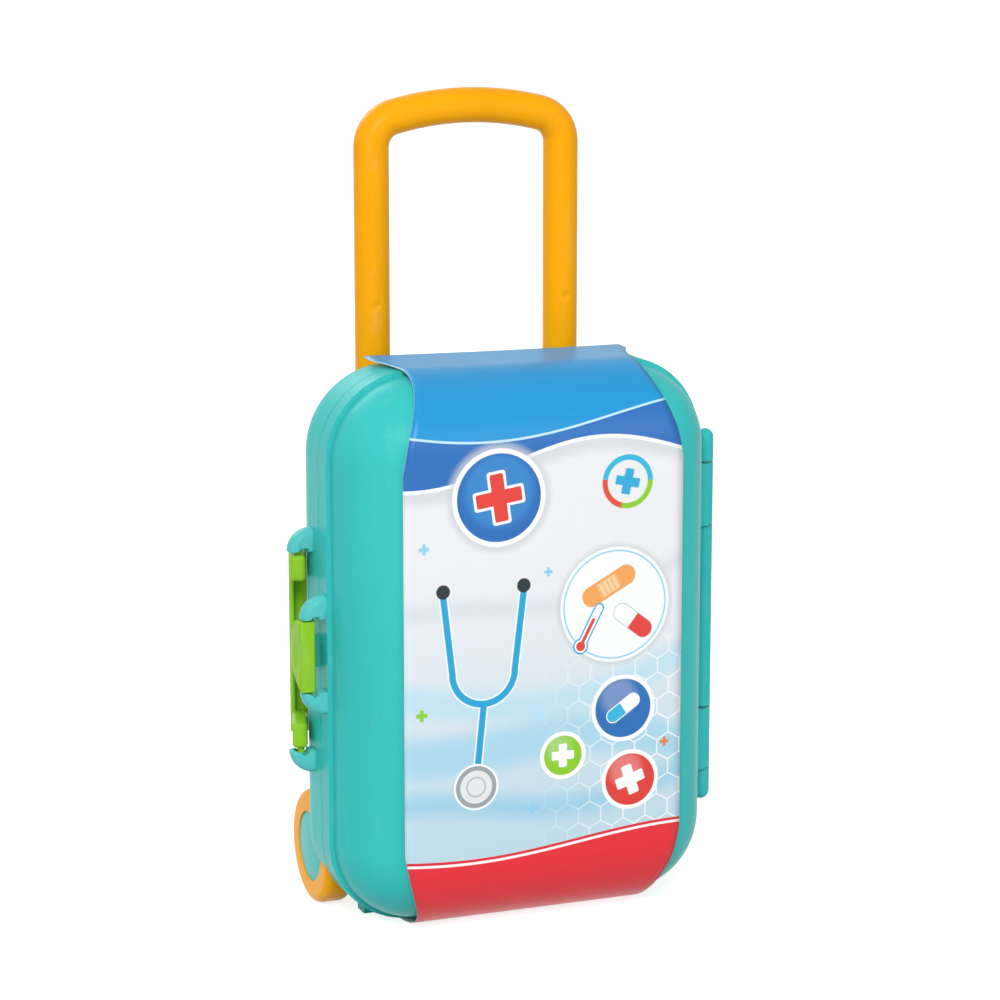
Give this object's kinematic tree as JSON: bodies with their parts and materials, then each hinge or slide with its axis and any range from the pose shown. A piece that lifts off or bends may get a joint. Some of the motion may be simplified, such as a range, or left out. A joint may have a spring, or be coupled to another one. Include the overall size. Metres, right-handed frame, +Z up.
{
  "type": "toy doctor case",
  "caption": "Upright hard-shell toy doctor case on two wheels with a telescopic handle, hinged lid, latch, carry handle, card sleeve and a tray of play instruments.",
  "frame": {"origin": "on the floor under the seam between lid and base, in the middle of the case's width", "axes": "+Z up, -Y towards the printed front, +X towards the hinge side"},
  "size_m": [0.2807, 0.1452, 0.508],
  "materials": {
    "teal_plastic": "moulded teal plastic, satin gloss",
    "yellow_plastic": "moulded warm yellow plastic, satin gloss",
    "lime_plastic": "moulded lime plastic, satin gloss",
    "red_plastic": "moulded red plastic, satin gloss",
    "orange_plastic": "moulded orange plastic, satin gloss",
    "blue_plastic": "moulded blue plastic, satin gloss",
    "white_plastic": "white plastic, satin gloss",
    "printed_card": null,
    "label": "printed label, coated",
    "steel": "plain steel, brushed",
    "film": "dark plastic film, glossy",
    "tube": "soft dark tube"
  },
  "bodies": {
    "base": {"base_shell": "teal_plastic", "hinge_pins": "steel", "carry_ears": "teal_plastic", "handle_guides": "teal_plastic", "rear_cover": "teal_plastic", "rear_cover_screws": "steel", "wheel_axles": "steel", "tray": "yellow_plastic", "tray_screws": "steel", "dish_upper": "lime_plastic", "dish_lower": "lime_plastic", "kidney_dish": "blue_plastic", "scissors_fixed_half": "blue_plastic", "scissors_pivot": "steel", "syringe_barrel": "orange_plastic", "thermometer": "blue_plastic", "glasses": "red_plastic", "stethoscope_frame": "lime_plastic", "stethoscope_chest_piece": "white_plastic", "gauge_body": "red_plastic", "gauge_dial": "white_plastic", "gauge_cord": "tube", "pump_block": "orange_plastic", "pill_box": "lime_plastic"},
    "lid": {"lid_shell": "teal_plastic", "latch_ears": "teal_plastic", "front_label": "label", "lid_basket": "lime_plastic", "hammer": "yellow_plastic", "reflector": "orange_plastic", "xray_frame": "lime_plastic", "xray_film": "film"},
    "latch": {"latch": "lime_plastic"},
    "carry_handle": {"carry_handle": "lime_plastic"},
    "telescopic_handle": {"telescopic_handle": "yellow_plastic", "handle_stops": "lime_plastic"},
    "wheel_left": {"wheel_left": "yellow_plastic", "hub_cap_left": "teal_plastic"},
    "wheel_right": {"wheel_right": "yellow_plastic", "hub_cap_right": "teal_plastic"},
    "sleeve": {"card_sleeve": "printed_card"},
    "scissors_half": {"scissors_moving_half": "blue_plastic"},
    "plunger": {"syringe_plunger": "yellow_plastic"}
  },
  "joints": [
    {"name": "lid_hinge", "type": "hinge", "parent": "base", "child": "lid", "pos_m": [0.134, 0, 0.1733], "axis": [0, 0, 1], "range_deg": [0, 105]},
    {"name": "latch_hinge", "type": "hinge", "parent": "lid", "child": "latch", "pos_m": [-0.1332, -0.0075, 0.1733], "axis": [0, 0, 1], "range_deg": [0, 100]},
    {"name": "carry_handle_hinge", "type": "hinge", "parent": "base", "child": "carry_handle", "pos_m": [-0.131, 0.017, 0.1703], "axis": [0, 0, 1], "range_deg": [0, 100]},
    {"name": "telescopic_slide", "type": "slide", "parent": "base", "child": "telescopic_handle", "axis": [0, 0, 1], "range_m": [-0.115, 0.08]},
    {"name": "wheel_left_spin", "type": "hinge", "parent": "base", "child": "wheel_left", "pos_m": [-0.108, 0.043, 0.036], "axis": [1, 0, 0], "continuous": true},
    {"name": "wheel_right_spin", "type": "hinge", "parent": "base", "child": "wheel_right", "pos_m": [0.108, 0.043, 0.036], "axis": [1, 0, 0], "continuous": true},
    {"name": "sleeve_slide", "type": "slide", "parent": "lid", "child": "sleeve", "axis": [0, -1, 0], "range_m": [0, 0.1]},
    {"name": "scissors_hinge", "type": "hinge", "parent": "base", "child": "scissors_half", "pos_m": [0.008, 0.0189, 0.0483], "axis": [0, -1, 0], "range_deg": [0, 24]},
    {"name": "plunger_slide", "type": "slide", "parent": "base", "child": "plunger", "axis": [0, 0, 1], "range_m": [-0.03, 0]}
  ]
}
